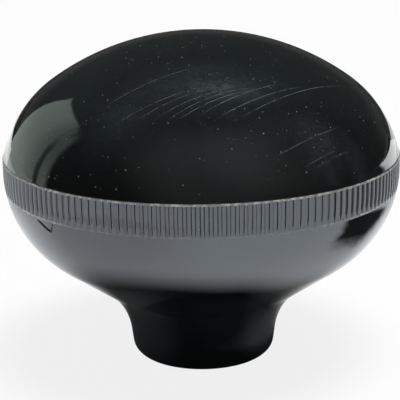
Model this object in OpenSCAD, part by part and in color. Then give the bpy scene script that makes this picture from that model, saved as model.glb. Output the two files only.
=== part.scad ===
// Ball knob for a lever or shaft: a flattened, domed head with a ribbed grip band at its widest,
// a bowl-shaped underside, and a short tapered stem on a flat foot. A brass bush with a blind
// threaded hole is moulded into the stem.
// Millimetres. +Z runs up the knob's axis, and the origin is the centre of the foot.

/* [Head] */
// Diameter over the ribs of the grip band
band_d = 48; // [40:0.5:58]
// Height of the dome above the grip band
dome_h = 14.3; // [12:0.1:18]
// Radius of the shoulder, the arc between the dome's crown and the band
shoulder_r = 14; // [10:0.5:14.5]
// Inward lean of the dome where it meets the band, in degrees
dome_lean = 12.2; // [5:0.2:20]
// Height of the band's straight wall, below which the underside begins to curve in
band_wall = 1.7; // [0.8:0.1:2.2]
// Radius of the underside's arc
bowl_r = 13.5; // [11:0.5:16]
// Slope of the underside's cone, from the horizontal
cone_slope = 35; // [30:1:40]

/* [Ribs] */
// Number of ribs around the grip band
rib_count = 160; // [120:2:180]
// Width of a rib across its crest
rib_w = 0.34; // [0.2:0.02:0.4]
// Depth of the grooves between the ribs
groove_depth = 0.2; // [0.1:0.02:0.26]
// Lean of a rib's two sides
rib_lean = 18; // [5:1:24]
// Step from the dome's edge out to the ribs
lip_w = 0.15; // [0.05:0.01:0.3]
// Height of the bevel on that step
lip_h = 0.2; // [0.1:0.02:0.4]
// Plain land between the bevel and the upper ends of the grooves
lip_land = 0.1; // [0.04:0.02:0.3]

/* [Stem] */
// Height above the foot at which the stem's side and the underside's cone would meet
stem_h = 6.81; // [5:0.01:9]
// Taper of the stem's side towards the foot, in degrees
stem_taper = 7.5; // [2:0.5:10]
// Share of the stem's side that the hollow neck takes up
neck_share = 0.695; // [0.3:0.005:0.9]
// Round on the foot's edge
foot_round = 1.7; // [0.4:0.1:2.2]
// Width of the foot's flat ring around the bush
foot_land = 0.9; // [0.5:0.1:2]

/* [Bush] */
// Diameter of the thread's bore, at the crests of an M10 thread
bore_d = 8.4; // [6:0.1:9]
// Depth of the threaded bore
bore_depth = 16; // [10:0.5:20]
// Countersink at the bore's mouth, as its depth
bore_mouth = 0.8; // [0.2:0.1:1.2]
// Thickness of the bush's closed end
bush_end = 3; // [1.5:0.5:5]
// Wall of the bush, from the bore to the tips of its knurl
bush_wall = 1.8; // [1.5:0.1:2.5]
// Step from the knurl out to the collar at the bush's mouth
collar_step = 0.2; // [0.1:0.05:0.6]
// Setback of the bush's face from the foot
bush_setback = 0.3; // [0.1:0.1:1]
// Height of the collar
collar_h = 2.5; // [1:0.5:4]
// Width of the anchoring groove around the bush
anchor_w = 3; // [1:0.5:5]
// Depth of the anchoring groove
anchor_depth = 0.5; // [0.45:0.05:0.7]
// Number of teeth in the bush's knurl
knurl_count = 36; // [20:2:48]
// Depth of the bush's knurl
knurl_depth = 0.3; // [0.15:0.05:0.4]

/* [Hidden] */
$fn = 180;

PHENOLIC_BLACK = [0.05, 0.055, 0.055];
BRASS = [0.72, 0.56, 0.27];

// Room that a cutter has beyond the surface it opens
over = 1;
// Largest turn between two points of an arc in the section
arc_step = 3;

function unit(a) = [cos(a), sin(a)];

// Points along an arc, from one angle to the other; first = 1 leaves out the starting point
function arc(centre, radius, from_a, to_a, first = 0) =
    let (n = ceil(abs(to_a - from_a) / arc_step))
    [for (i = [first : n]) centre + radius * unit(from_a + (to_a - from_a) * i / n)];

// Point where two lines meet, each given by its normal and its distance along that normal
function lines_meet(n0, k0, n1, k1) =
    [k0 * n1.y - k1 * n0.y, n0.x * k1 - n1.x * k0] / (n0.x * n1.y - n0.y * n1.x);

// Bush: a plain collar, then two knurled lengths with the anchoring groove between them
knurl_d = bore_d + 2 * bush_wall;
collar_d = knurl_d + 2 * collar_step;
bush_top = bush_setback + bore_depth + bush_end;
collar_top = bush_setback + collar_h;
anchor_low = (collar_top + bush_top - anchor_w) / 2;
anchor_top = anchor_low + anchor_w;

// Stem: the foot's round, a tapered side, and the corner at which that side would meet the cone
foot_c = [collar_d / 2 + foot_land, foot_round];
side_a = -stem_taper;
side_k = foot_c * unit(side_a) + foot_round;
stem_end = foot_c + foot_round * unit(side_a);
corner = [(side_k - stem_h * sin(side_a)) / cos(side_a), stem_h];

// Underside: a cone up from that corner, then an arc that runs into the band's wall without a break
band_r = band_d / 2;
cone_a = cone_slope - 90;
cone_k = corner * unit(cone_a);
bowl_end_r = band_r - bowl_r * (1 - cos(cone_a));
bowl_end = [bowl_end_r, stem_h + (bowl_end_r - corner.x) * tan(cone_slope)];
bowl_c = bowl_end - bowl_r * unit(cone_a);
bowl_top = bowl_c.y;

// Neck: an arc that touches the stem's side and the cone
neck_run = neck_share * min(norm(corner - bowl_end), norm(corner - stem_end));
neck_r = neck_run / tan((side_a - cone_a) / 2);
neck_c = lines_meet(unit(cone_a), cone_k + neck_r, unit(side_a), side_k + neck_r);

// Dome: the shoulder's arc starts at the band, and the crown's arc touches it and is centred on the axis
band_top = bowl_top + band_wall;
knob_h = band_top + dome_h;
dome_edge = [band_r - lip_w, band_top];
shoulder_c = dome_edge - shoulder_r * unit(dome_lean);
crown_rise = knob_h - shoulder_c.y;
crown_r = (shoulder_c.x ^ 2 + crown_rise ^ 2 - shoulder_r ^ 2) / (2 * (crown_rise - shoulder_r));
crown_c = [0, knob_h - crown_r];
crown_end_a = atan2(shoulder_c.y - crown_c.y, shoulder_c.x);

// Grooves: they stop under the bevelled lip, and run out where the underside curves past their floors
groove_floor_r = band_r - groove_depth;
groove_top = band_top - lip_h - lip_land;
groove_low = bowl_top - sqrt(2 * bowl_r * groove_depth) - over;
rib_tip_r = band_r + groove_depth;
rib_tip_half = rib_w / 2 - groove_depth * tan(rib_lean);
rib_root_half = rib_w / 2 + groove_depth * tan(rib_lean);

// Half section of the moulding, up its outside from the foot to the top of the dome
module body_section() {
    polygon(concat(
        [[0, 0]],
        arc(foot_c, foot_round, -90, side_a),
        arc(neck_c, neck_r, 180 + side_a, 180 + cone_a),
        arc(bowl_c, bowl_r, cone_a, 0),
        [[band_r, band_top - lip_h]],
        arc(shoulder_c, shoulder_r, dome_lean, crown_end_a),
        arc(crown_c, crown_r, crown_end_a, 90, first = 1)
    ));
}

// Outline that stays inside the groove cutter: one tapered rib for each pitch
module rib_outline() {
    rib = [
        [groove_floor_r, -rib_root_half], [rib_tip_r, -rib_tip_half],
        [rib_tip_r, rib_tip_half], [groove_floor_r, rib_root_half]
    ];
    polygon([
        for (i = [0 : rib_count - 1], p = rib)
            let (a = 360 * i / rib_count)
            [p.x * cos(a) - p.y * sin(a), p.x * sin(a) + p.y * cos(a)]
    ]);
}

module groove_cutter() {
    translate([0, 0, groove_low])
        linear_extrude(groove_top - groove_low)
            difference() {
                circle(band_r + over);
                rib_outline();
            }
}

// A length of the bush's straight knurl
module knurl(low, high) {
    tip_r = knurl_d / 2;
    translate([0, 0, low])
        linear_extrude(high - low)
            polygon([
                for (i = [0 : 2 * knurl_count - 1])
                    (tip_r - (i % 2) * knurl_depth) * unit(180 * i / knurl_count)
            ]);
}

// Outer form of the bush from the given height up, shared by the bush and its seat
module bush_form(low) {
    translate([0, 0, low]) cylinder(d = collar_d, h = collar_top - low);
    knurl(collar_top, anchor_low);
    translate([0, 0, anchor_low]) cylinder(d = knurl_d - 2 * anchor_depth, h = anchor_w);
    knurl(anchor_top, bush_top);
}

module knob_body() {
    color(PHENOLIC_BLACK)
        difference() {
            rotate_extrude() body_section();
            groove_cutter();
            bush_form(-over);
        }
}

module threaded_insert() {
    bore_r = bore_d / 2;
    color(BRASS)
        difference() {
            bush_form(bush_setback);
            translate([0, 0, bush_setback - over]) cylinder(r = bore_r, h = bore_depth + over);
            translate([0, 0, bush_setback - over])
                cylinder(r1 = bore_r + bore_mouth + over, r2 = bore_r, h = bore_mouth + over);
        }
}

knob_body();
threaded_insert();
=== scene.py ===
"""Ball knob: a polished black moulding with a ribbed grip band, and a brass bush in its foot."""

import math

import bpy
import numpy as np
from mathutils import Matrix, Vector


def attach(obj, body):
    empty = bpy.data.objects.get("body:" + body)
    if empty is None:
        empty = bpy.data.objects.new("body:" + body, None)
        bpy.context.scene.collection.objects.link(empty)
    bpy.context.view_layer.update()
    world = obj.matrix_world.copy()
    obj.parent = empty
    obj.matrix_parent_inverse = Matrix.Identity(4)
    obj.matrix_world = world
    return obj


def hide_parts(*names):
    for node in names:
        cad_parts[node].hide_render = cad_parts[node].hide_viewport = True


MM = 0.001
TURN = 2 * math.pi

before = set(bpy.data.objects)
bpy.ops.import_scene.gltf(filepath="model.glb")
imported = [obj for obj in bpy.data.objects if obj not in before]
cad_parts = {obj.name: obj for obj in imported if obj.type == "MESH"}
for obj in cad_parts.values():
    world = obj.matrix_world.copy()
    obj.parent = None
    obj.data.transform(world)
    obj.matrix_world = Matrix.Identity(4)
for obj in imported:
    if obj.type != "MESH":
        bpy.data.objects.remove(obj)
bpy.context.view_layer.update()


# Sizes in millimetres and angles in degrees, the same as the part's source

BAND_D = 48.0
DOME_H = 14.3
SHOULDER_R = 14.0
DOME_LEAN = 12.2
BAND_WALL = 1.7
BOWL_R = 13.5
CONE_SLOPE = 35.0
RIB_COUNT = 160
RIB_W = 0.34
GROOVE_DEPTH = 0.2
RIB_LEAN = 18.0
LIP_W = 0.15
LIP_H = 0.2
LIP_LAND = 0.1
STEM_H = 6.81
STEM_TAPER = 7.5
NECK_SHARE = 0.695
FOOT_ROUND = 1.7
FOOT_LAND = 0.9
BORE_D = 8.4
BORE_DEPTH = 16.0
BORE_MOUTH = 0.8
BUSH_END = 3.0
BUSH_WALL = 1.8
COLLAR_STEP = 0.2
BUSH_SETBACK = 0.3
COLLAR_H = 2.5
ANCHOR_W = 3.0
ANCHOR_DEPTH = 0.5
KNURL_COUNT = 36
KNURL_DEPTH = 0.3

# Thread of the bush, M10 coarse, which the part's source leaves plain; its flats are shares of the pitch
THREAD_PITCH = 1.5
THREAD_DEPTH = 0.8
THREAD_END = 13.0
ROOT_FLAT = 0.125
CREST_FLAT = 0.25

# Softened edges of the ribs: their size, what is left of it in a shallow groove, and where their points lie
RIB_EDGE = 0.04
RIB_EDGE_SHARE = 0.3
RIB_EDGE_LEAST = 0.004
RIB_EDGE_EASE = 0.25

# Eased lower corner of the lip, and the slope at the upper end of a groove
LIP_EASE_IN = 0.02
LIP_EASE_UP = 0.035
GROOVE_END_H = 0.02

# Share of the ribbed arc at which the grooves start to run out, the steps of that slope, and the depth whose
# wall the columns keep where a groove has run out
RUN_OUT_START = 0.62
RUN_OUT_STEPS = (0.35, 0.7, 1.0)
RUN_OUT_WALL = 0.05

# Groove walls take a shaded copy of the ribbed finish, whose weaker mirror is painted shade, where the
# cosine of their angle from the right is above this
SHADED_WALL_SIDE = 0.6

# Air between the bush's mesh and its seat
BUSH_GAP = 0.01


def unit(angle):
    """Direction in the half section at an angle in degrees above the horizontal."""
    return np.array([math.cos(math.radians(angle)), math.sin(math.radians(angle))])


def lines_meet(n0, k0, n1, k1):
    """Point where two lines meet, each given by its normal and its distance along that normal."""
    return np.linalg.solve(np.array([n0, n1]), np.array([k0, k1]))


def tan(angle):
    return math.tan(math.radians(angle))


# Centres and joints of the half section's arcs, from the foot up

KNURL_R = BORE_D / 2 + BUSH_WALL
COLLAR_R = KNURL_R + COLLAR_STEP
BUSH_TOP = BUSH_SETBACK + BORE_DEPTH + BUSH_END
COLLAR_TOP = BUSH_SETBACK + COLLAR_H
ANCHOR_LOW = (COLLAR_TOP + BUSH_TOP - ANCHOR_W) / 2

SIDE_A = -STEM_TAPER
CONE_A = CONE_SLOPE - 90
FOOT_C = np.array([COLLAR_R + FOOT_LAND, FOOT_ROUND])
SIDE_K = FOOT_C @ unit(SIDE_A) + FOOT_ROUND
STEM_END = FOOT_C + FOOT_ROUND * unit(SIDE_A)
CORNER = np.array([(SIDE_K - STEM_H * unit(SIDE_A)[1]) / unit(SIDE_A)[0], STEM_H])

BAND_R = BAND_D / 2
BOWL_END_R = BAND_R - BOWL_R * (1 - unit(CONE_A)[0])
BOWL_END = np.array([BOWL_END_R, STEM_H + (BOWL_END_R - CORNER[0]) * tan(CONE_SLOPE)])
BOWL_C = BOWL_END - BOWL_R * unit(CONE_A)
NECK_RUN = NECK_SHARE * min(np.linalg.norm(CORNER - BOWL_END), np.linalg.norm(CORNER - STEM_END))
NECK_R = NECK_RUN / tan((SIDE_A - CONE_A) / 2)
NECK_C = lines_meet(unit(CONE_A), CORNER @ unit(CONE_A) + NECK_R, unit(SIDE_A), SIDE_K + NECK_R)

BAND_TOP = BOWL_C[1] + BAND_WALL
KNOB_H = BAND_TOP + DOME_H
DOME_EDGE = np.array([BAND_R - LIP_W, BAND_TOP])
SHOULDER_C = DOME_EDGE - SHOULDER_R * unit(DOME_LEAN)
CROWN_RISE = KNOB_H - SHOULDER_C[1]
CROWN_R = (SHOULDER_C[0] ** 2 + CROWN_RISE ** 2 - SHOULDER_R ** 2) / (2 * (CROWN_RISE - SHOULDER_R))
CROWN_C = np.array([0, KNOB_H - CROWN_R])
CROWN_END_A = math.degrees(math.atan2(SHOULDER_C[1] - CROWN_C[1], SHOULDER_C[0]))

GROOVE_FLOOR_R = BAND_R - GROOVE_DEPTH
GROOVE_TOP = BAND_TOP - LIP_H - LIP_LAND
RUN_OUT_A = -math.degrees(math.acos((GROOVE_FLOOR_R - BOWL_C[0]) / BOWL_R))
SLOPE_A = RUN_OUT_START * RUN_OUT_A


# Meshes

# Columns around a turned stretch, and rows along each arc or wall
COLUMNS = 320
CROWN_ROWS = 22
SHOULDER_ROWS = 24
RIB_WALL_ROWS = 5
RIB_BOWL_ROWS = 7
BOWL_ROWS = 30
NECK_ROWS = 24
FOOT_ROWS = 18
BORE_COLUMNS = 96
BORE_ROWS = 241

# Corners sharper than this many degrees stay sharp
MOULDING_CREASE = 28.0
BUSH_CREASE = 40.0

# Numbers of the moulding's finishes, the last a shaded copy of the ribbed one as painted shade, and of the
# bush's only one
GLOSS, RIBS, SHADED_WALL = 0, 1, 2
TURNED = 0


def spread(count):
    """Angles of a number of columns around the axis."""
    return TURN * np.arange(count) / count


def new_object(name, data):
    obj = bpy.data.objects.new(name, data)
    bpy.context.scene.collection.objects.link(obj)
    return obj


class Turning:
    """A closed skin that is built ring by ring along a half section."""

    def __init__(self):
        self.verts = []
        self.normals = []
        self.faces = []
        self.finish = []
        self.exact = []

    def ring(self, angles, radii, z, normal=None):
        """Adds a ring, and gives its vertex numbers and angles.

        The normal is the section's own, or None to leave it to Blender.
        """
        start = len(self.verts)
        angles = np.asarray(angles)
        radii = np.broadcast_to(np.asarray(radii, float), angles.shape)
        for a, r in zip(angles, radii):
            c, s = math.cos(a), math.sin(a)
            self.verts.append((r * c * MM, r * s * MM, z * MM))
            self.normals.append(None if normal is None else (normal[0] * c, normal[0] * s, normal[1]))
        return np.arange(start, len(self.verts)), angles

    def add(self, face, finish, exact):
        self.faces.append(tuple(int(v) for v in face))
        self.finish.append(finish)
        self.exact.append(exact)

    def skin(self, upper, lower, finish, exact=False):
        """Joins two rings, with quads where they have the same number of points and triangles elsewhere.

        The finish is a number, or a list of them, one for each quad.
        """
        (a, angle_a), (b, angle_b) = upper, lower
        if len(a) == len(b):
            each = np.broadcast_to(finish, len(a))
            for i in range(len(a)):
                j = (i + 1) % len(a)
                self.add((a[i], b[i], b[j], a[j]), int(each[i]), exact)
            return
        i = j = 0
        while i < len(a) or j < len(b):
            next_a = angle_a[i + 1] if i + 1 < len(a) else angle_a[0] + TURN
            next_b = angle_b[j + 1] if j + 1 < len(b) else angle_b[0] + TURN
            here_a, here_b = a[i % len(a)], b[j % len(b)]
            if j >= len(b) or (i < len(a) and next_a <= next_b):
                self.add((here_a, here_b, a[(i + 1) % len(a)]), finish, exact)
                i += 1
            else:
                self.add((here_a, here_b, b[(j + 1) % len(b)]), finish, exact)
                j += 1

    def cap(self, ring, z, finish, up, exact=False):
        """Closes a ring with a fan of triangles around a point on the axis."""
        self.verts.append((0.0, 0.0, z * MM))
        self.normals.append((0.0, 0.0, 1.0) if exact else None)
        tip = len(self.verts) - 1
        ids = ring[0]
        for i in range(len(ids)):
            j = (i + 1) % len(ids)
            self.add((tip, ids[i], ids[j]) if up else (tip, ids[j], ids[i]), finish, exact)

    def piece(self, name, finishes, crease):
        """Makes the object.

        Corners sharper than crease stay sharp, and exact faces keep the section's own normals.
        """
        mesh = bpy.data.meshes.new(name)
        mesh.from_pydata(self.verts, [], self.faces)
        mesh.polygons.foreach_set("material_index", self.finish)
        for m in finishes:
            mesh.materials.append(m)
        mesh.polygons.foreach_set("use_smooth", [True] * len(self.faces))
        mesh.set_sharp_from_angle(angle=math.radians(crease))
        mesh.update()
        loops = np.zeros(len(mesh.loops) * 3, np.float32)
        mesh.corner_normals.foreach_get("vector", loops)
        loops = loops.reshape(-1, 3)
        for poly, exact in zip(mesh.polygons, self.exact):
            if exact:
                for k in poly.loop_indices:
                    own = self.normals[mesh.loops[k].vertex_index]
                    if own is not None:
                        loops[k] = own
        mesh.normals_split_custom_set(loops.tolist())
        return new_object(name, mesh)


def rib_columns(outer_r, depth):
    """Angles and radii around the band at one height, where the ribs' crests stand at outer_r."""
    pitch = TURN / RIB_COUNT
    root = (RIB_W / 2 + GROOVE_DEPTH * tan(RIB_LEAN)) / BAND_R
    crest = root - max(depth, RUN_OUT_WALL) * tan(RIB_LEAN) / BAND_R
    edge = min(RIB_EDGE, RIB_EDGE_SHARE * depth + RIB_EDGE_LEAST)
    soft = edge / BAND_R
    ease = RIB_EDGE_EASE * soft
    steps = [
        (0.0, outer_r),
        (crest - soft, outer_r),
        (crest - ease, outer_r - RIB_EDGE_EASE * edge * (depth > 0)),
        (crest + ease, outer_r - min(edge, depth)),
        (root - ease, outer_r - max(depth - edge, 0.0)),
        (root + soft, outer_r - depth),
    ]
    one = steps + [(pitch / 2, outer_r - depth)] + [(pitch - a, r) for a, r in reversed(steps[1:])]
    angles = np.concatenate([[k * pitch + a for a, _ in one] for k in range(RIB_COUNT)])
    radii = np.tile([r for _, r in one], RIB_COUNT)
    return angles, radii


def arc_rows(centre, radius, from_a, to_a, rows, hollow=False):
    """Points along an arc of the section with their outward normals."""
    side = -1 if hollow else 1
    return [(centre + radius * unit(a), side * unit(a)) for a in np.linspace(from_a, to_a, rows)]


def seat_rings(s, low, gap, flip, finish):
    """Rings of the bush's outer form, shared by the bush and its seat; gives the first and last ring."""
    angles = spread(2 * KNURL_COUNT)
    teeth = KNURL_R - KNURL_DEPTH * (np.arange(len(angles)) % 2) - gap
    collar = COLLAR_R - gap
    neck = KNURL_R - ANCHOR_DEPTH - gap
    anchor_high = ANCHOR_LOW + ANCHOR_W
    rows = [
        (low, collar), (COLLAR_TOP, collar), (COLLAR_TOP, teeth), (ANCHOR_LOW, teeth),
        (ANCHOR_LOW, neck), (anchor_high, neck), (anchor_high, teeth), (BUSH_TOP, teeth),
    ]
    rings = [s.ring(angles, r, z) for z, r in rows]
    for below, above in zip(rings, rings[1:]):
        first, second = (above, below) if flip else (below, above)
        s.skin(first, second, finish)
    return rings[0], rings[-1]


def moulding(finishes):
    """The phenolic moulding: dome, ribbed band, bowl, neck, stem and foot as one skin."""
    s = Turning()
    plain = spread(COLUMNS)
    dome = arc_rows(CROWN_C, CROWN_R, 90, CROWN_END_A, CROWN_ROWS)[1:]
    dome += arc_rows(SHOULDER_C, SHOULDER_R, CROWN_END_A, DOME_LEAN, SHOULDER_ROWS)[1:]
    last = None
    for p, n in dome:
        here = s.ring(plain, p[0], p[1], n)
        if last is None:
            s.cap(here, KNOB_H, GLOSS, up=True, exact=True)
        else:
            s.skin(last, here, GLOSS, exact=True)
        last = here

    # Bevelled lip, then the plain land above the grooves
    lip_low = s.ring(plain, BAND_R, BAND_TOP - LIP_H)
    lip_mid = s.ring(plain, BAND_R - LIP_EASE_IN, BAND_TOP - LIP_H + LIP_EASE_UP)
    s.skin(last, lip_mid, RIBS)
    s.skin(lip_mid, lip_low, RIBS)
    angles, _ = rib_columns(BAND_R, GROOVE_DEPTH)
    last = s.ring(angles, BAND_R, GROOVE_TOP)
    s.skin(lip_low, last, RIBS)

    # Quads of a groove's two walls, by the number of their first column in each rib
    per_rib = len(angles) // RIB_COUNT
    in_wall = np.isin(np.arange(len(angles)) % per_rib, (3, 4, per_rib - 5, per_rib - 4))
    # Groove walls at the right take the shaded copy of the finish, as painted shade
    finish = np.where(in_wall & (np.cos(angles) > SHADED_WALL_SIDE), SHADED_WALL, RIBS)

    # Ribs: straight down the wall, then along the bowl, with a short slope where the grooves end
    heights = np.linspace(GROOVE_TOP - GROOVE_END_H, BOWL_C[1], RIB_WALL_ROWS)
    bowl_angles = np.linspace(0, SLOPE_A, RIB_BOWL_ROWS)[1:]
    ribs = [(BAND_R, z, GROOVE_DEPTH) for z in heights]
    ribs += [(*(BOWL_C + BOWL_R * unit(a)), GROOVE_DEPTH) for a in bowl_angles]
    for t in RUN_OUT_STEPS:
        ribs.append((*(BOWL_C + BOWL_R * unit(SLOPE_A + (RUN_OUT_A - SLOPE_A) * t)), GROOVE_DEPTH * (1 - t)))
    for r, z, depth in ribs:
        angles, radii = rib_columns(r, depth)
        here = s.ring(angles, radii, z)
        s.skin(last, here, finish)
        last = here
    run_normal = unit(RUN_OUT_A)
    for k in last[0]:
        x, y, _ = s.verts[k]
        out = math.hypot(x, y)
        s.normals[k] = (run_normal[0] * x / out, run_normal[0] * y / out, run_normal[1])

    under = arc_rows(BOWL_C, BOWL_R, RUN_OUT_A, CONE_A, BOWL_ROWS)[1:]
    under += arc_rows(NECK_C, NECK_R, 180 + CONE_A, 180 + SIDE_A, NECK_ROWS, hollow=True)
    under += arc_rows(FOOT_C, FOOT_ROUND, SIDE_A, -90, FOOT_ROWS)
    for p, n in under:
        here = s.ring(plain, p[0], p[1], n)
        s.skin(last, here, GLOSS, exact=True)
        last = here

    mouth, top = seat_rings(s, low=0.0, gap=0.0, flip=False, finish=GLOSS)
    s.skin(last, mouth, GLOSS)
    s.cap(top, BUSH_TOP, GLOSS, up=False)
    return s.piece("knob_moulding", finishes, MOULDING_CREASE)


def thread_radii(angles, z):
    """Radii of the tapped bore at one height, with the thread's flats, its run-out and the countersink."""
    turn = (z / THREAD_PITCH - angles / TURN) % 1.0
    from_root = np.abs(2 * turn - 1)
    flank = 1 - CREST_FLAT - ROOT_FLAT
    depth = np.clip((1 - CREST_FLAT - from_root) / flank, 0, 1) * THREAD_DEPTH
    run_out = np.clip((THREAD_END + THREAD_PITCH - z) / THREAD_PITCH, 0, 1)
    mouth = BORE_D / 2 + max(BORE_MOUTH - (z - BUSH_SETBACK), 0.0)
    return np.maximum(BORE_D / 2 + depth * run_out, mouth)


def bush(finish):
    """The brass bush: collar, knurl and anchoring groove outside, and a tapped blind hole inside."""
    s = Turning()
    last, end = seat_rings(s, low=BUSH_SETBACK, gap=BUSH_GAP, flip=True, finish=TURNED)
    s.cap(end, BUSH_TOP, TURNED, up=True)
    angles = spread(BORE_COLUMNS)
    bore_end = BUSH_SETBACK + BORE_DEPTH
    for z in np.linspace(BUSH_SETBACK, bore_end, BORE_ROWS):
        here = s.ring(angles, thread_radii(angles, z), z)
        s.skin(last, here, TURNED)
        last = here
    s.cap(last, bore_end, TURNED, up=False)
    return s.piece("tapped_bush", [finish], BUSH_CREASE)


# Materials

class Wiring:
    """Places and joins nodes in one node tree."""

    def __init__(self, tree):
        self.tree = tree

    def add(self, kind, **settings):
        node = self.tree.nodes.new(kind)
        for key, value in settings.items():
            setattr(node, key, value)
        return node

    def feed(self, source, socket):
        """Joins a socket to its source, or sets it where the source is a plain value."""
        if isinstance(source, bpy.types.NodeSocket):
            self.tree.links.new(source, socket)
        else:
            socket.default_value = source

    def math(self, operation, a, b=0.0, c=0.0, clamp=False):
        node = self.add("ShaderNodeMath", operation=operation, use_clamp=clamp)
        for source, socket in zip((a, b, c), node.inputs):
            self.feed(source, socket)
        return node.outputs[0]

    def product(self, first, *others):
        for other in others:
            first = self.math("MULTIPLY", first, other)
        return first

    def rise(self, value, low, high, to_low=0.0, to_high=1.0):
        """Goes smoothly from to_low to to_high as the value goes from low to high."""
        node = self.add("ShaderNodeMapRange", interpolation_type="SMOOTHSTEP")
        for source, socket in zip((value, low, high, to_low, to_high), node.inputs):
            self.feed(source, socket)
        return node.outputs["Result"]

    def blend(self, share, below, above):
        """Lays one colour over another by a mask."""
        node = self.add("ShaderNodeMix", data_type="RGBA")
        self.feed(share, node.inputs[0])
        self.feed(below, node.inputs[6])
        self.feed(above, node.inputs[7])
        return node.outputs[2]

    def coats(self, colour, *coats):
        """Lays coats over a colour, each with its mask, its share where the mask is full, and its tint."""
        for mask, most, tint in coats:
            colour = self.blend(self.math("MULTIPLY", mask, most), colour, tint)
        return colour

    def scaled(self, place, factor):
        node = self.add("ShaderNodeVectorMath", operation="MULTIPLY")
        self.feed(place, node.inputs[0])
        node.inputs[1].default_value = factor
        return node.outputs[0]

    def axes(self, place):
        node = self.add("ShaderNodeSeparateXYZ")
        self.feed(place, node.inputs[0])
        return node.outputs

    def length(self, a, b):
        """Length of the arrow with these two components."""
        return self.math("SQRT", self.math("MULTIPLY_ADD", a, a, self.math("MULTIPLY", b, b)))

    def noise(self, place, scale, detail=2.0, rough=0.5, warp=0.0):
        node = self.add("ShaderNodeTexNoise")
        self.feed(place, node.inputs["Vector"])
        node.inputs["Scale"].default_value = scale
        node.inputs["Detail"].default_value = detail
        node.inputs["Roughness"].default_value = rough
        node.inputs["Distortion"].default_value = warp
        return node.outputs[0]

    def bump(self, shade, *heights):
        """Raises a surface by the sum of some heights in millimetres."""
        total = heights[0]
        for height in heights[1:]:
            total = self.math("ADD", total, height)
        node = self.add("ShaderNodeBump")
        node.inputs["Distance"].default_value = MM
        self.feed(total, node.inputs["Height"])
        self.feed(node.outputs[0], shade.inputs["Normal"])

    def group(self, tree, **inputs):
        node = self.add("ShaderNodeGroup")
        node.node_tree = tree
        for key, value in inputs.items():
            self.feed(value, node.inputs[key])
        return node.outputs

    def clear(self):
        """A shader that lets everything through."""
        return self.add("ShaderNodeBsdfTransparent").outputs[0]

    def surface(self, share, below, above):
        """Lays one shader over another by a mask, as the material's surface."""
        node = self.add("ShaderNodeMixShader")
        for source, socket in zip((share, below, above), node.inputs):
            self.feed(source, socket)
        self.feed(node.outputs[0], self.tree.nodes["surface"].inputs["Surface"])
        return node.outputs[0]


def new_group(name, inputs, outputs):
    """An empty node group with these sockets, and the wiring to fill it."""
    tree = bpy.data.node_groups.new(name, "ShaderNodeTree")
    for label, kind in inputs:
        tree.interface.new_socket(label, in_out="INPUT", socket_type=kind)
    for label, kind in outputs:
        tree.interface.new_socket(label, in_out="OUTPUT", socket_type=kind)
    w = Wiring(tree)
    return tree, w, w.add("NodeGroupInput").outputs, w.add("NodeGroupOutput").inputs


def new_material(name):
    """A material with its wiring and shader, and the place on the object in millimetres."""
    material = bpy.data.materials.new(name)
    material.use_nodes = True
    material.node_tree.nodes.clear()
    w = Wiring(material.node_tree)
    shade = w.add("ShaderNodeBsdfPrincipled")
    w.feed(shade.outputs[0], w.add("ShaderNodeOutputMaterial", name="surface").inputs["Surface"])
    place = w.scaled(w.add("ShaderNodeTexCoord").outputs["Object"], (1 / MM, 1 / MM, 1 / MM))
    return material, w, shade, place


VALUE, VECTOR = "NodeSocketFloat", "NodeSocketVector"


def dust_group():
    """Small specks of dust, some of them in clusters. Place is in millimetres, Cell is the mean spacing."""
    tree, w, given, made = new_group(
        "dust", [("Place", VECTOR), ("Cell", VALUE), ("Size", VALUE)], [("Specks", VALUE)]
    )
    place, cell = given["Place"], given["Cell"]

    # Each speck's form, bent a little so that it isn't round
    stray = w.add("ShaderNodeTexNoise")
    w.feed(place, stray.inputs["Vector"])
    stray.inputs["Scale"].default_value = 5.0
    bent = w.add("ShaderNodeVectorMath", operation="ADD")
    w.feed(place, bent.inputs[0])
    w.feed(w.scaled(stray.outputs["Color"], (0.12, 0.12, 0.12)), bent.inputs[1])
    cells = w.add("ShaderNodeTexVoronoi")
    w.feed(bent.outputs[0], cells.inputs["Vector"])
    w.feed(w.math("DIVIDE", 1.0, cell), cells.inputs["Scale"])
    far = w.math("MULTIPLY", cells.outputs["Distance"], cell)
    chance = w.add("ShaderNodeSeparateColor")
    w.feed(cells.outputs["Color"], chance.inputs[0])
    size_chance, keep_chance, bright_chance = chance.outputs[:3]
    reach = w.math("MULTIPLY", given["Size"], w.rise(size_chance, 0.0, 1.0, 0.5, 1.0))
    speck = w.rise(w.math("DIVIDE", far, reach), 1.0, 0.4)

    # Few specks are kept, and more of them where they crowd
    wide = w.rise(w.noise(place, scale=0.13), 0.35, 0.65)
    close = w.rise(w.noise(place, scale=0.55), 0.4, 0.7)
    crowd = w.math("MULTIPLY_ADD", w.math("MULTIPLY", wide, close), 0.46, 0.08)
    kept = w.math("LESS_THAN", keep_chance, crowd)
    bright = w.rise(bright_chance, 0.0, 1.0, 0.2, 1.0)
    w.feed(w.product(speck, kept, bright), made["Specks"])
    return tree


def film_group():
    """Thin film of fine dust and wiping, in soft clouds and finer wisps. Place is in millimetres."""
    tree, w, given, made = new_group("film", [("Place", VECTOR)], [("Film", VALUE)])
    clouds = w.rise(w.noise(given["Place"], scale=0.11, detail=3.0), 0.32, 0.68, 0.45, 1.0)
    wisps = w.noise(given["Place"], scale=0.8, detail=4.0, rough=0.65, warp=0.6)
    w.feed(w.math("MULTIPLY", clouds, w.rise(wisps, 0.3, 0.7, 0.75, 1.0)), made["Film"])
    return tree


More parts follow.
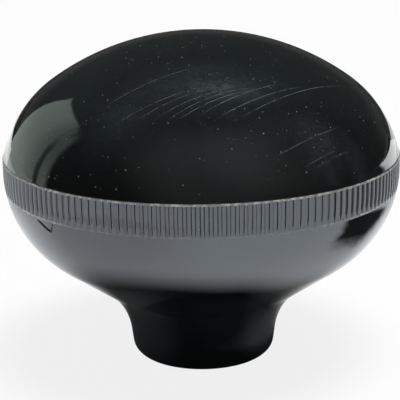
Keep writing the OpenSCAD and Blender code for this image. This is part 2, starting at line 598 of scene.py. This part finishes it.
def hairline_group():
    """One fine scratch along a circle about a shared centre, bowed a little outwards at both ends."""
    labels = ("Distance", "Angle", "Radius", "Middle", "Half", "Bow", "Width")
    tree, w, given, made = new_group("hairline", [(label, VALUE) for label in labels], [("Line", VALUE)])
    along = w.math("DIVIDE", w.math("SUBTRACT", given["Angle"], given["Middle"]), given["Half"])
    bow = w.math("MULTIPLY", given["Bow"], w.math("SUBTRACT", w.math("MULTIPLY", along, along), 0.4))
    miss = w.math("SUBTRACT", w.math("SUBTRACT", given["Distance"], given["Radius"]), bow)
    line = w.rise(w.math("DIVIDE", w.math("ABSOLUTE", miss), given["Width"]), 1.0, 0.1)
    ends = w.rise(w.math("ABSOLUTE", along), 1.1, 0.5)
    w.feed(w.math("MULTIPLY", line, ends), made["Line"])
    return tree


# Scratches from polishing, on circles about one point seen from above: radius in millimetres, first and
# last angle in degrees, how far the ends bow outwards, and strength
SCRATCH_W = 0.052
SCRATCH_CENTRE = (-14.04, 12.15)
SCRATCHES = [
    (26.72, -83, -59, 0.6, 0.75), (29.89, -82, -64, 0.35, 0.75), (30.64, -77, -61, 0.35, 0.7),
    (31.57, -74, -58, 0.45, 0.8), (32.27, -72, -54, 0.6, 0.7), (32.79, -70, -53, 0.5, 0.9),
    (33.31, -66, -45, 0.5, 0.9), (34.43, -63, -42, 0.4, 0.8), (35.33, -60, -31, 0.6, 0.9),
    (39.57, -57, -42, 0.0, 0.52), (40.86, -52, -45, 0.0, 0.36), (41.16, -51, -42, 0.0, 0.26),
]

# Scuffed patches of the dome, partly a painted reflection of the light above, seen from above: centre and
# half widths in millimetres, and strength
SCUFFS_AND_REFLECTIONS = [
    (2.4, -14.7, 6.2, 2.1, 1.0), (0.0, -13.8, 11.0, 4.2, 0.32), (12.6, -17.0, 3.4, 2.6, 0.30),
    (17.4, -15.6, 2.6, 1.7, 0.30), (14.4, -18.6, 2.4, 0.8, 0.22), (-8.5, -17.0, 4.0, 2.6, 0.22),
]

# Heights in millimetres between which a finish grows, and the second of them may be the lower one
DOME_ZONE = (25.6, 26.2)
DUSTY_ZONE = (21.0, 28.0)
CROWN_FILM_ZONE = (26.0, 36.0)
BOWL_FILM_ZONE = (18.0, 26.0)
# Where painted light lifts the shade around the neck
NECK_PAINTED_LIGHT_ZONE = (14.0, 10.5)
CORNER_ZONE = (21.9, 23.2)
LIP_LOW_ZONE = (BAND_TOP - 0.36, BAND_TOP - 0.28)
LIP_HIGH_ZONE = (BAND_TOP - 0.05, BAND_TOP - 0.12)
LOW_EDGE_HIGH_ZONE = (21.98, 21.86)
LOW_EDGE_LOW_ZONE = (21.66, 21.72)

# Black phenolic, and how strongly and in which tint its polish mirrors
BLACK = (0.0016, 0.0018, 0.0018, 1)
GLOSS_TINT = (0.84, 0.92, 1.0, 1)
GLOSS_IOR = 2.35
# Black phenolic, and how strongly and in which tint its polish mirrors; the last and weakest mirror is
# painted shade on groove walls at the right
RIBS_IOR = 2.2
SHADED_WALL_IOR = 1.6

# What lies on the phenolic, or shows where it is scuffed and worn, and the painted shade, highlights,
# glints, reflection and light laid on it
# Film of dust, and painted light around the neck
FILM_AND_NECK_LIGHT_TINT = (0.0165, 0.0300, 0.0325, 1)
# Scuffs, partly a painted reflection of the light above
SCUFF_AND_REFLECTION_TINT = (0.165, 0.205, 0.222, 1)
# Scratches, pale partly as a painted glint of the light above
SCRATCH_AND_GLINT_TINT = (0.24, 0.255, 0.25, 1)
FINE_DUST_TINT = (0.22, 0.225, 0.22, 1)
DUST_TINT = (0.42, 0.43, 0.42, 1)
RIB_FILM_TINT = (0.030, 0.034, 0.037, 1)
RIB_DUST_TINT = (0.45, 0.45, 0.44, 1)
# Painted shade in the corners of the grooves
GROOVE_SHADE_TINT = (0.0008, 0.0009, 0.0009, 1)
# Wear, and a painted highlight, at the grooves' lower ends
LOW_EDGE_WEAR_AND_HIGHLIGHT_TINT = (0.48, 0.485, 0.48, 1)
# Wear, and a painted highlight, along the lip
LIP_WEAR_AND_HIGHLIGHT_TINT = (0.52, 0.51, 0.485, 1)

BRASS_TINT = (0.78, 0.60, 0.29, 1)
TARNISH_TINT = (0.48, 0.33, 0.14, 1)
BRASS_DUST_TINT = (0.3, 0.29, 0.27, 1)


def scratch_and_glint_mask(w, hairline, x, y):
    """All the scratches of the dome as one mask; their pale colour is partly a painted glint."""
    across = w.math("SUBTRACT", x, SCRATCH_CENTRE[0])
    deep = w.math("SUBTRACT", y, SCRATCH_CENTRE[1])
    far = w.length(across, deep)
    turn = w.math("DEGREES", w.math("ARCTAN2", deep, across))
    marks = 0.0
    for radius, first, last, bow, strength in SCRATCHES:
        line = w.group(
            hairline, Distance=far, Angle=turn, Radius=radius, Middle=(first + last) / 2,
            Half=(last - first) / 2, Bow=bow, Width=SCRATCH_W,
        )
        marks = w.math("MAXIMUM", marks, w.math("MULTIPLY", line["Line"], strength))
    return marks


def scuff_and_reflection_mask(w, x, y):
    """The scuffed patches of the dome, partly a painted reflection of the light above, as one mask: where
    the scratches meet, and fainter ones lower.
    """
    scuff_and_reflection = 0.0
    for at_x, at_y, half_x, half_y, most in SCUFFS_AND_REFLECTIONS:
        wide = w.math("DIVIDE", w.math("SUBTRACT", x, at_x), half_x)
        tall = w.math("DIVIDE", w.math("SUBTRACT", y, at_y), half_y)
        scuff_and_reflection = w.math("MAXIMUM", scuff_and_reflection, w.rise(w.length(wide, tall), 1.3, 0.0, 0.0, most))
    return scuff_and_reflection


def phenolic_material(dust, film, hairline):
    """Polished black phenolic: deep gloss, slight waves, polishing scratches whose pale colour is partly a
    painted glint, scuffed patches that are partly a painted reflection, painted light around the neck, and
    dust.
    """
    material, w, shade, place = new_material("polished_phenolic")
    x, y, z = w.axes(place)
    on_dome = w.rise(z, *DOME_ZONE)
    worn_and_shaded = w.rise(w.noise(place, scale=1.2, detail=3.0), 0.32, 0.58, 0.3, 1.0)
    # Scratches, pale partly as a painted glint
    marks = w.product(scratch_and_glint_mask(w, hairline, x, y), worn_and_shaded, on_dome)
    wisps = w.noise(w.scaled(place, (0.7, 1.4, 1.4)), scale=1.3, detail=6.0, rough=0.72, warp=1.2)
    # Scuffed patches, partly a painted reflection of the light above
    scuff_and_reflection = w.product(scuff_and_reflection_mask(w, x, y), w.rise(wisps, 0.34, 0.70, 0.12, 1.0), on_dome)

    # Film that is thickest on the crown and thin on the bowl, and painted light that lifts the shade around
    # the neck
    crown = w.rise(z, *CROWN_FILM_ZONE, 0.2, 0.85)
    amount = w.math("MULTIPLY", crown, w.rise(z, *BOWL_FILM_ZONE, 0.25, 1.0))
    amount = w.math("ADD", amount, w.rise(z, *NECK_PAINTED_LIGHT_ZONE))
    thin = w.math("MULTIPLY", w.group(film, Place=place)["Film"], amount)
    dusty = w.rise(z, *DUSTY_ZONE, 0.12, 1.0)
    specks = w.group(dust, Place=place, Cell=0.38, Size=0.10)["Specks"]
    specks = w.math("MULTIPLY", specks, dusty)
    fine = w.group(dust, Place=w.scaled(place, (1, 1, -1)), Cell=0.24, Size=0.06)["Specks"]
    fine = w.math("MULTIPLY", fine, dusty)
    # Film with painted light at the neck, scuffs with a painted reflection, scratches with painted glints,
    # and dust, over the black
    colour = w.coats(
        BLACK, (thin, 0.40, FILM_AND_NECK_LIGHT_TINT), (scuff_and_reflection, 0.35, SCUFF_AND_REFLECTION_TINT), (marks, 0.6, SCRATCH_AND_GLINT_TINT),
        (fine, 0.3, FINE_DUST_TINT), (specks, 0.7, DUST_TINT),
    )
    w.feed(colour, shade.inputs["Base Color"])

    rough = w.math("MULTIPLY_ADD", thin, 0.03, 0.05)
    rough = w.math("MULTIPLY_ADD", scuff_and_reflection, 0.16, rough)
    rough = w.math("MULTIPLY_ADD", w.math("MAXIMUM", marks, specks), 0.4, rough, clamp=True)
    w.feed(rough, shade.inputs["Roughness"])

    # Slow waves from moulding and polishing, and the dust standing proud
    waves = w.math("MULTIPLY", w.noise(place, scale=0.22, detail=1.0), 0.010)
    ripple = w.math("MULTIPLY", w.noise(place, scale=1.1, detail=1.0), 0.0010)
    w.bump(shade, waves, ripple, w.math("MULTIPLY", specks, 0.01))
    shade.inputs["IOR"].default_value = GLOSS_IOR
    shade.inputs["Specular Tint"].default_value = GLOSS_TINT
    return material


def ribs_material(name, ior, dust, film):
    """The grip band: the same phenolic with tool marks along the ribs, painted shade in the grooves'
    corners, and pale beads of wear with a painted highlight along the lip and the grooves' lower ends.
    """
    material, w, shade, place = new_material(name)
    x, y, z = w.axes(place)

    # Corners of the grooves by the share of a pitch from the crest's middle, darkened as painted shade, and
    # the band's edges, with wear and a painted highlight
    off_crest = w.math("PINGPONG", w.math("MULTIPLY", w.math("ARCTAN2", y, x), RIB_COUNT / TURN), 0.5)
    corner = w.product(
        w.rise(off_crest, 0.17, 0.22), w.rise(off_crest, 0.36, 0.27), w.rise(z, *CORNER_ZONE)
    )
    lip = w.math("MULTIPLY", w.rise(z, *LIP_LOW_ZONE), w.rise(z, *LIP_HIGH_ZONE))
    # Pale beads at the grooves' lower ends, stronger towards the left and right: wear, and a painted
    # highlight of the light from above
    aside = w.rise(w.math("ABSOLUTE", w.math("DIVIDE", x, BAND_R)), 0.5, 0.8, 0.15, 1.0)
    low_edge_wear_and_highlight = w.product(w.rise(z, *LOW_EDGE_HIGH_ZONE), w.rise(z, *LOW_EDGE_LOW_ZONE), aside)

    streaks = w.noise(w.scaled(place, (1, 1, 0.1)), scale=2.6, detail=3.0, rough=0.6)
    beads = w.rise(w.noise(place, scale=2.4, detail=3.0, rough=0.6), 0.42, 0.64)
    thin = w.group(film, Place=place)["Film"]
    specks = w.group(dust, Place=place, Cell=0.7, Size=0.075)["Specks"]
    colour = w.coats(
        BLACK,
        (thin, w.rise(streaks, 0.3, 0.7), RIB_FILM_TINT),
        # Painted shade in the corners of the grooves
        (corner, 0.5, GROOVE_SHADE_TINT),
        # Wear and a painted highlight at the grooves' lower ends
        (low_edge_wear_and_highlight, w.rise(beads, 0.0, 1.0, 0.4, 1.0), LOW_EDGE_WEAR_AND_HIGHLIGHT_TINT),
        # Wear and a painted highlight along the lip
        (lip, w.rise(beads, 0.0, 1.0, 0.36, 1.0), LIP_WEAR_AND_HIGHLIGHT_TINT),
        (specks, 0.6, RIB_DUST_TINT),
    )
    w.feed(colour, shade.inputs["Base Color"])

    rough = w.rise(streaks, 0.25, 0.75, 0.07, 0.15)
    rough = w.math("MULTIPLY_ADD", w.math("MAXIMUM", lip, specks), 0.35, rough, clamp=True)
    w.feed(rough, shade.inputs["Roughness"])

    tool = w.math("MULTIPLY", w.noise(w.scaled(place, (1, 1, 0.06)), scale=5.0), 0.004)
    w.bump(shade, tool, w.product(lip, beads, 0.02))
    shade.inputs["IOR"].default_value = ior
    shade.inputs["Specular Tint"].default_value = GLOSS_TINT
    return material


def brass_material(dust):
    """Turned brass with fine tool rings, a little tarnish and dust."""
    material, w, shade, place = new_material("turned_brass")
    tarnish = w.rise(w.noise(place, scale=0.5, detail=4.0), 0.35, 0.7)
    specks = w.group(dust, Place=place, Cell=0.8, Size=0.06)["Specks"]
    colour = w.coats(BRASS_TINT, (tarnish, 1.0, TARNISH_TINT), (specks, 0.6, BRASS_DUST_TINT))
    w.feed(colour, shade.inputs["Base Color"])
    w.feed(w.rise(tarnish, 0.0, 1.0, 0.22, 0.42), shade.inputs["Roughness"])
    rings = w.add("ShaderNodeTexWave", wave_type="RINGS", rings_direction="Z")
    w.feed(place, rings.inputs["Vector"])
    rings.inputs["Scale"].default_value = 2.2
    rings.inputs["Distortion"].default_value = 0.6
    w.bump(shade, w.math("MULTIPLY", rings.outputs[1], 0.004))
    shade.inputs["Metallic"].default_value = 1.0
    return material


# Stage materials

FLOOR_DARK = (0.90, 0.90, 0.90, 1)
FLOOR_PALE = (0.92, 0.92, 0.92, 1)
FLOOR_WHITE_SHARE = 0.85
# Black of the sheets; the one around the foot is painted shadow
SHEET_DARK = (0.003, 0.003, 0.003, 1)
SHEET_PALE = (0.006, 0.006, 0.006, 1)
CLOTH_DARK = (0.07, 0.07, 0.07, 1)
CLOTH_PALE = (0.10, 0.10, 0.10, 1)
FLOOR_CLOUD = 0.01
SHEET_CLOUD = 0.8

# Painted shadow around the foot, a black sheet that only the gloss mirrors, in millimetres: its middle, how
# far it is dense, where it ends, and the factor by which distances to the right count, so that it reaches
# further there
FOOT_SHADOW_AT = (-3.2, -2.2)
FOOT_SHADOW_DENSE = 10.8
FOOT_SHADOW_END = 25.0
FOOT_SHADOW_RIGHT = 0.84

# What its dense part lets through, from right to left, and how much less its front left lets through
FOOT_SHADOW_LEAST = (0.007, 0.055)
FOOT_SHADOW_LEAST_X = (-2.0, -13.0)
FOOT_SHADOW_LEFT_X = (8.0, -26.0)
FOOT_SHADOW_LEFT_Y = (4.0, -14.0)
FOOT_SHADOW_LEFT_DARK = 0.23

# Gauze at the right, in millimetres: its inner edge leans out between two depths, and its outer one is round
SIDE_GAUZE_INNER = 34.5
SIDE_GAUZE_LEAN = 0.64
SIDE_GAUZE_LEAN_FROM = 3.0
SIDE_GAUZE_LEAN_RUN = 27.0
SIDE_GAUZE_INNER_FADE = (-6.5, 5.0)
SIDE_GAUZE_FRONT_FADE = (-16.0, -10.0)
SIDE_GAUZE_OUTER_FADE = (61.0, 56.0)
SIDE_GAUZE_RAGGED = 5.0
SIDE_GAUZE_DENSITY = 0.97

# Fades of a card without soft edges
HARD = (0.0, 0.0, 0.0, 0.0)


def matt_material(name, dark, pale, cloud):
    """A plain matt stage surface with a faint change of tone."""
    material, w, shade, place = new_material(name)
    w.feed(w.blend(w.noise(place, scale=cloud), dark, pale), shade.inputs["Base Color"])
    shade.inputs["Roughness"].default_value = 1.0
    shade.inputs["Specular IOR Level"].default_value = 0.0
    return material, w, shade, place


def floor_material():
    """Pale, plain studio floor: its white lightens the shadow, and it is clear from below."""
    material, w, shade, _ = matt_material("pale_floor", FLOOR_DARK, FLOOR_PALE, FLOOR_CLOUD)
    path = w.add("ShaderNodeLightPath").outputs
    seen = w.math("MAXIMUM", path["Is Camera Ray"], path["Is Glossy Ray"])
    seen = w.math("MAXIMUM", seen, path["Is Transmission Ray"])
    white = w.add("ShaderNodeEmission").outputs[0]
    lit = w.surface(w.math("MULTIPLY", seen, FLOOR_WHITE_SHARE), shade.outputs[0], white)
    w.surface(w.add("ShaderNodeNewGeometry").outputs["Backfacing"], lit, w.clear())
    return material


def foot_shadow_sheet_material():
    """Painted shadow: a black sheet around the foot, dense under the knob, then thinner, with a little more
    of it at the front left.
    """
    material, w, shade, place = matt_material("foot_shadow_sheet", SHEET_DARK, SHEET_PALE, SHEET_CLOUD)
    x, y, _ = w.axes(place)
    aside = w.math("SUBTRACT", x, FOOT_SHADOW_AT[0])
    aside = w.math("MAXIMUM", w.math("MULTIPLY", aside, FOOT_SHADOW_RIGHT), w.math("MULTIPLY", aside, -1.0))
    off = w.length(aside, w.math("SUBTRACT", y, FOOT_SHADOW_AT[1]))
    least = w.rise(x, *FOOT_SHADOW_LEAST_X, *FOOT_SHADOW_LEAST)
    thin = w.rise(off, FOOT_SHADOW_DENSE, FOOT_SHADOW_END, least, 1.0)
    left = w.math("MULTIPLY", w.rise(x, *FOOT_SHADOW_LEFT_X), w.rise(y, *FOOT_SHADOW_LEFT_Y))
    thin = w.math("MULTIPLY", thin, w.math("MULTIPLY_ADD", left, -FOOT_SHADOW_LEFT_DARK, 1.0))
    w.surface(thin, shade.outputs[0], w.clear())
    return material


def side_gauze_material():
    """Black gauze on the floor at the right of the knob, with soft and ragged edges."""
    material, w, shade, place = matt_material("side_cloth", SHEET_DARK, SHEET_PALE, SHEET_CLOUD)
    x, y, _ = w.axes(place)
    ragged = w.noise(place, scale=0.25, detail=3.0)
    ragged = w.math("MULTIPLY_ADD", ragged, SIDE_GAUZE_RAGGED, -SIDE_GAUZE_RAGGED / 2)
    back = w.math("MAXIMUM", w.math("SUBTRACT", y, SIDE_GAUZE_LEAN_FROM), 0.0)
    back = w.math("MINIMUM", back, SIDE_GAUZE_LEAN_RUN)
    inner = w.math("MULTIPLY_ADD", back, SIDE_GAUZE_LEAN, SIDE_GAUZE_INNER)
    past = w.math("SUBTRACT", w.math("ADD", x, ragged), inner)
    dense = w.product(
        w.rise(past, *SIDE_GAUZE_INNER_FADE), w.rise(w.math("ADD", y, ragged), *SIDE_GAUZE_FRONT_FADE),
        w.rise(w.length(x, y), *SIDE_GAUZE_OUTER_FADE), SIDE_GAUZE_DENSITY,
    )
    w.surface(dense, w.clear(), shade.outputs[0])
    return material


def card_material(name, colour, radiance, soft=HARD, ragged=0.0, low_gain=1.0, right_gain=1.0):
    """A glowing card with soft edges.

    The four values of soft are the fades at its left, right, lower and upper edge, by share of its width or
    height; low_gain and right_gain multiply its glow at its lower and its right edge.
    """
    material, w, shade, _ = new_material(name)
    spot = w.add("ShaderNodeTexCoord").outputs["UV"]
    u, v, _ = w.axes(spot)
    if ragged:
        stray = w.math("MULTIPLY_ADD", w.noise(spot, scale=9.0, detail=4.0), ragged, -ragged / 2)
        u = w.math("ADD", u, stray)
        v = w.math("ADD", v, stray)
    edges = 1.0
    sides = ((u, 0.0, 1), (u, 1.0, -1), (v, 0.0, 1), (v, 1.0, -1))
    for (along, edge, inward), fade in zip(sides, soft):
        if fade:
            edges = w.math("MULTIPLY", edges, w.rise(along, edge, edge + inward * fade))
    glow = w.add("ShaderNodeEmission")
    glow.inputs["Color"].default_value = colour
    level = w.rise(v, 0.0, 0.5, radiance * low_gain, radiance)
    w.feed(w.math("MULTIPLY", level, w.rise(u, 0.6, 0.97, 1.0, right_gain)), glow.inputs["Strength"])
    w.tree.nodes.remove(shade)
    w.surface(edges, w.clear(), glow.outputs[0])
    return material


# The knob

dust = dust_group()
film = film_group()
polished = phenolic_material(dust, film, hairline_group())
ribbed = ribs_material("ribbed_phenolic", RIBS_IOR, dust, film)
# A shaded copy of the ribbed finish: its weaker mirror is painted shade on the groove walls at the right
worn_and_shaded = ribs_material("shaded_wall_phenolic", SHADED_WALL_IOR, dust, film)
knob = moulding([polished, ribbed, worn_and_shaded])
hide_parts("knob_body")
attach(knob, "root")

insert = bush(brass_material(dust))
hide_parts("threaded_insert")
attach(insert, "root")


# Stage, in metres

# Step between the cards that lie over each other on the floor
LAYER = 1e-4

# Azimuth in degrees that the standing cards at the left are square to
LEFT_FACING = -100


def around(azimuth, distance, height=0.0):
    """Point around the knob's axis: azimuth 0 is the camera's side and rises to its right."""
    a = math.radians(azimuth)
    return Vector((distance * math.sin(a), -distance * math.cos(a), height))


def upright(distance, corners):
    """A standing face at the left, from the azimuth and height of its corners."""
    return [around(az, distance / math.cos(math.radians(az - LEFT_FACING)), high) for az, high in corners]


def fan(layer, corners):
    """A face lying on the floor, from the azimuth and distance of its corners."""
    return [around(az, far, layer * LAYER) for az, far in corners]


def patch(layer, corners):
    """A face lying on the floor, from its corners, or from two opposite corners of a rectangle."""
    if len(corners) == 2:
        (x0, y0), (x1, y1) = corners
        corners = [(x0, y0), (x1, y0), (x1, y1), (x0, y1)]
    return [(x, y, layer * LAYER) for x, y in corners]


def stage_piece(name, material, *faces):
    """A flat or folded stage piece of four-sided faces.

    A face's first corner counts as its lower left for the material, and the others follow around it.
    """
    mesh = bpy.data.meshes.new(name)
    points = [p for face in faces for p in face]
    mesh.from_pydata(points, [], [tuple(range(k, k + 4)) for k in range(0, len(points), 4)])
    mesh.materials.append(material)
    spots = mesh.uv_layers.new(name="spots")
    for loop in mesh.loops:
        spots.data[loop.index].uv = ((0, 0), (1, 0), (1, 1), (0, 1))[loop.vertex_index % 4]
    obj = new_object(name, mesh)
    return obj


def card(name, material, *faces, lights=False):
    """A card beside the knob that its gloss mirrors; it casts no shadow, and the camera doesn't see it."""
    obj = stage_piece(name, material, *faces)
    obj.visible_camera = False
    obj.visible_shadow = False
    obj.visible_diffuse = lights


stage_piece("floor", floor_material(), patch(0, [(-4, -4), (4, 4)]))

# Soft lamp overhead, a little to the right
overhead_data = bpy.data.lights.new("overhead", "AREA")
overhead_data.energy = 14.6
overhead_data.shape = "DISK"
overhead_data.size = 0.6
overhead = new_object("overhead", overhead_data)
overhead.location = (0.168, -0.05, 1.2)
overhead.rotation_mode = "QUATERNION"
overhead.rotation_quaternion = (-Vector(overhead.location)).to_track_quat("-Z", "Y")
overhead.visible_camera = False
overhead.visible_glossy = False

# Panel and strip at the left, and the floor that belongs to the panel
GREENISH = (0.90, 1.0, 0.86, 1)
panel = card_material(
    "left_panel", GREENISH, 0.50, soft=(0.01, 0.05, 0.0, 0.05), ragged=0.03, low_gain=1.25, right_gain=0.62
)
PANEL = [(-147.6, 0), (-107.2, 0), (-106.7, 0.94), (-142.6, 0.93)]
card("left_panel", panel, upright(1.0, PANEL), lights=True)
strip = card_material("left_strip", GREENISH, 0.23, soft=(0.15, 0.45, 0.0, 0.35), ragged=0.03, low_gain=1.6)
STRIP = [(-105.2, 0), (-93.8, 0), (-93.8, 0.95), (-105.2, 0.95)]
card("left_strip", strip, upright(1.0, STRIP), lights=True)
panel_ground = card_material("left_ground", GREENISH, 0.6, soft=(0.05, 0.0, 0.0, 0.0))
card("left_ground", panel_ground, fan(3, [(-147, 0.28), (-147, 1.48), (-108, 1.02), (-108, 0.28)]))

# Dark gap between them, which fades upwards, and the floor that belongs to the gap and the strip
between = card_material("left_between", GREENISH, 0.085)
WALL_BETWEEN = [(-108, 0), (-104, 0), (-104, 0.7), (-108, 0.7)]
card("wall_between", between, upright(1.02, WALL_BETWEEN))
wall_top = card_material("wall_top", GREENISH, 0.25, soft=(0.0, 0.0, 0.5, 0.2))
WALL_TOP = [(-108, 0.38), (-104, 0.38), (-104, 0.95), (-108, 0.95)]
card("wall_top", wall_top, upright(1.01, WALL_TOP))
card("ground_between", between, fan(2.5, [(-109, 0.25), (-109, 1.02), (-104, 1.02), (-104, 0.25)]))
gap_dark = card_material("gap_dark", GREENISH, 0.0)
card("gap_dark", gap_dark, fan(2, [(-109, 0.25), (-109, 3.9), (-92, 3.9), (-92, 0.25)]))
strip_ground = card_material("strip_ground", GREENISH, 0.37, soft=(0.0, 0.0, 0.08, 0.45))
card("strip_ground", strip_ground, fan(3, [(-104.6, 0.25), (-104.6, 1.0), (-93.8, 1.0), (-93.8, 0.25)]))

# White rims at both sides from the floor far behind, and the dark floor around the right one
WHITE = (1, 1, 1, 1)
RIM_WHITE = (1.0, 0.975, 0.95, 1)
left_rim = card_material("left_rim", RIM_WHITE, 1.6, soft=(0.06, 0.06, 0.06, 0.06))
card("left_rim", left_rim, patch(4, [(-0.1, 0.113), (-0.268, 0.345), (-0.135, 0.28), (-0.04, 0.145)]))
right_dark = card_material("right_dark", WHITE, 0.03, soft=(0.05, 0.0, 0.05, 0.05))
RIGHT_DARK_SIDE = [(98, 0.2), (98, 3.9), (124, 3.9), (124, 0.2)]
RIGHT_DARK_BACK = [(123, 0.3), (123, 3.9), (152, 3.9), (152, 0.3)]
card("right_dark", right_dark, fan(3, RIGHT_DARK_SIDE), fan(3, RIGHT_DARK_BACK))
right_rim = card_material("right_rim", RIM_WHITE, 1.72, soft=(0.06, 0.06, 0.3, 0.06))
card("right_rim", right_rim, fan(4, [(119, 0.17), (120, 3.8), (145, 0.5), (155, 0.16)]))

# Brighter floor close to the foot: name, radiance and two opposite corners
BRIGHT_FLOORS = [
    ("left_floor", 1.2, (-0.062, -0.006), (-0.022, 0.05)),
    ("right_floor", 1.32, (0.014, -0.006), (0.056, 0.055)),
    ("front_floor", 1.0, (0.006, -0.045), (0.046, 0.004)),
]
for name, radiance, low, high in BRIGHT_FLOORS:
    bright = card_material(name, WHITE, radiance, soft=(0.45, 0.45, 0.45, 0.45))
    card(name, bright, patch(5, [low, high]))

# Two thin black slats on the floor at the left
slat = card_material("black_slat", WHITE, 0.0, soft=(0.2, 0.1, 0.3, 0.3))
LONG_SLAT = [(-0.057, 0.0025), (-0.0455, -0.0075), (-0.0435, -0.0055), (-0.056, 0.006)]
SHORT_SLAT = [(-0.054, -0.0098), (-0.0455, -0.0068), (-0.0452, -0.0056), (-0.0535, -0.0084)]
card("long_slat", slat, patch(6, LONG_SLAT))
card("short_slat", slat, patch(6, SHORT_SLAT))

# Painted shadow around the foot as a black sheet, black gauze at the right of the bowl, and dark cloth
# folded upright behind the knob
card("foot_shadow_sheet", foot_shadow_sheet_material(), patch(2, [(-0.07, -0.07), (0.07, 0.05)]))
card("side_cloth", side_gauze_material(), patch(7, [(0.02, -0.02), (0.08, 0.045)]))
CLOTH_H = 0.045
FOLDS = [(-0.28, 0.42), (-0.12, 0.28), (0.0, 0.24), (0.12, 0.27), (0.30, 0.42)]
folded = [[(*a, 0.0), (*b, 0.0), (*b, CLOTH_H), (*a, CLOTH_H)] for a, b in zip(FOLDS, FOLDS[1:])]
back_cloth, *_ = matt_material("back_cloth", CLOTH_DARK, CLOTH_PALE, SHEET_CLOUD)
card("back_cloth", back_cloth, *folded)

# Dim room with soft glows in front, at the right, above and behind: azimuth, height and reach in degrees,
# and strength
ROOM_TINT = (1.0, 1.0, 0.92, 1)
ROOM_LEVEL = 0.020
GLOWS = [
    (4, 36, 52, 0.060), (58, 40, 48, 0.050), (-30, 75, 60, 0.03), (180, 40, 60, 0.03), (118, 10, 45, 0.012),
]

# Low glow behind: the parts of a direction backwards and upwards between which it grows, and its strength
SKYLINE_BACK = (0.6, 0.85)
SKYLINE_UP = (0.28, 0.08)
SKYLINE_GLOW = 0.04

world = bpy.data.worlds.new("dim_room")
world.use_nodes = True
room = Wiring(world.node_tree)
toward = room.add("ShaderNodeTexCoord").outputs["Generated"]
_, behind, high = room.axes(toward)
skyline = room.rise(high, *SKYLINE_UP, 0.0, SKYLINE_GLOW)
level = room.math("ADD", room.math("MULTIPLY", room.rise(behind, *SKYLINE_BACK), skyline), ROOM_LEVEL)
for azimuth, height, reach, strength in GLOWS:
    near = room.add("ShaderNodeVectorMath", operation="DOT_PRODUCT")
    room.feed(toward, near.inputs[0])
    near.inputs[1].default_value = around(azimuth, *unit(height))
    glow = room.rise(near.outputs["Value"], math.cos(math.radians(reach)), 1.0, 0.0, strength)
    level = room.math("ADD", glow, level)
background = world.node_tree.nodes["Background"]
background.inputs["Color"].default_value = ROOM_TINT
room.feed(level, background.inputs["Strength"])
bpy.context.scene.world = world


# Camera, fitted to the photograph's outline: angles in radians, lengths in metres, and places in its pixels

ELEVATION = 0.2786
ROLL = -0.0135
FOCAL_PX = 1467.1
REACH = 0.180
TARGET = Vector((0, 0, 0.020))
TARGET_PX = (201.67, 194.39)
IMAGE_PX = 400.0
SENSOR_MM = 36

look = Vector((0, math.cos(ELEVATION), -math.sin(ELEVATION)))
flat_right = Vector((1, 0, 0))
flat_up = flat_right.cross(look)
right = math.cos(ROLL) * flat_right + math.sin(ROLL) * flat_up
up = -math.sin(ROLL) * flat_right + math.cos(ROLL) * flat_up
px = REACH / FOCAL_PX
slide = -(TARGET_PX[0] - IMAGE_PX / 2) * px * right + (TARGET_PX[1] - IMAGE_PX / 2) * px * up

camera_data = bpy.data.cameras.new("camera")
camera_data.sensor_width = SENSOR_MM
camera_data.lens = SENSOR_MM * FOCAL_PX / IMAGE_PX
camera_data.clip_start = 0.01
camera_data.clip_end = 50
camera = new_object("camera", camera_data)
axes = Matrix((right, up, -look)).transposed().to_4x4()
camera.matrix_world = Matrix.Translation(TARGET - look * REACH + slide) @ axes
bpy.context.scene.camera = camera

bpy.context.scene.view_settings.view_transform = "Standard"
